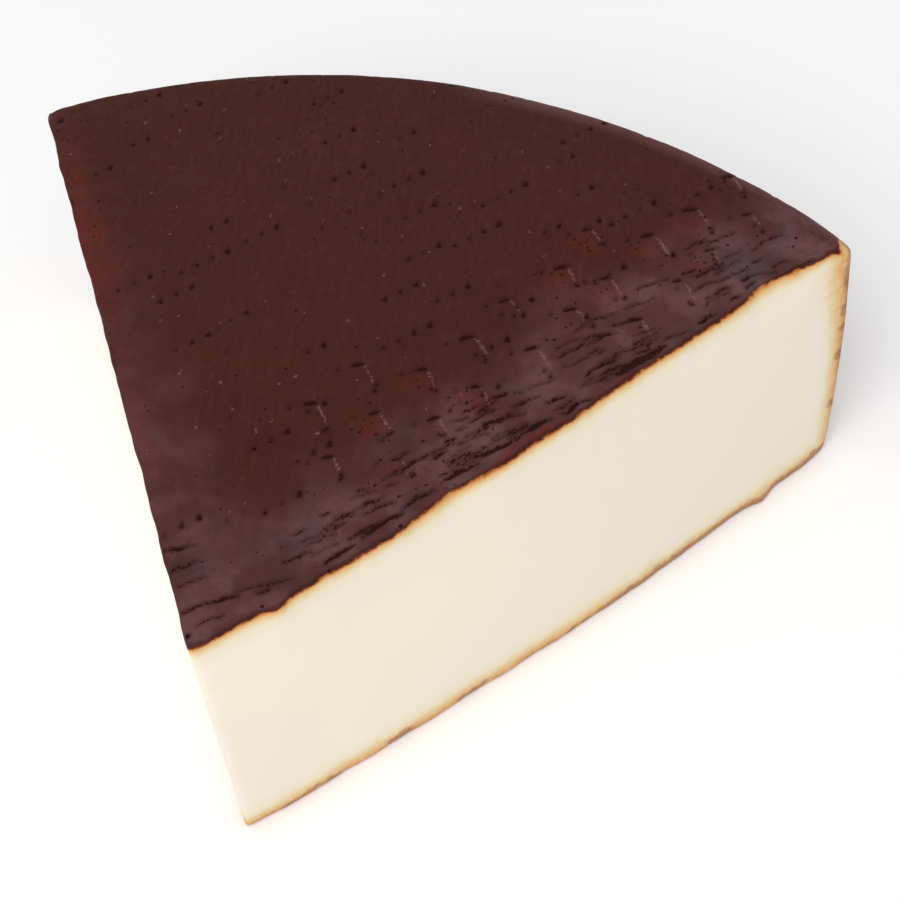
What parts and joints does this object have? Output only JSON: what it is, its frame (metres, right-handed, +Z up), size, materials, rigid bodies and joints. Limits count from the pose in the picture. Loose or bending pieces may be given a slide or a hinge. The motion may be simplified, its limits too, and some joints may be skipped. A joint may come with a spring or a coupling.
{
  "type": "smoked cheese wedge",
  "caption": "Wedge cut from a round wheel of smoked cheese: flat underside, dark brown rind over the top and round side, smooth cream cut faces meeting at a narrow tip.",
  "frame": {"origin": "on the surface that the wedge rests on, at the centre of its bounding box seen from above", "axes": "+Z up; the tip points to -Y and the round rind to +Y; +X to the right, along the chord between the two outer corners"},
  "size_m": [0.1882, 0.1607, 0.0655],
  "materials": {
    "smoked_cheese": "dried and smoked cheese: dark chocolate brown rind with a low waxy gloss, smooth cream paste on the two cut faces that turns yellow and then orange at the rind"
  },
  "bodies": {
    "root": {"cheese_wedge": "smoked_cheese"}
  },
  "joints": []
}
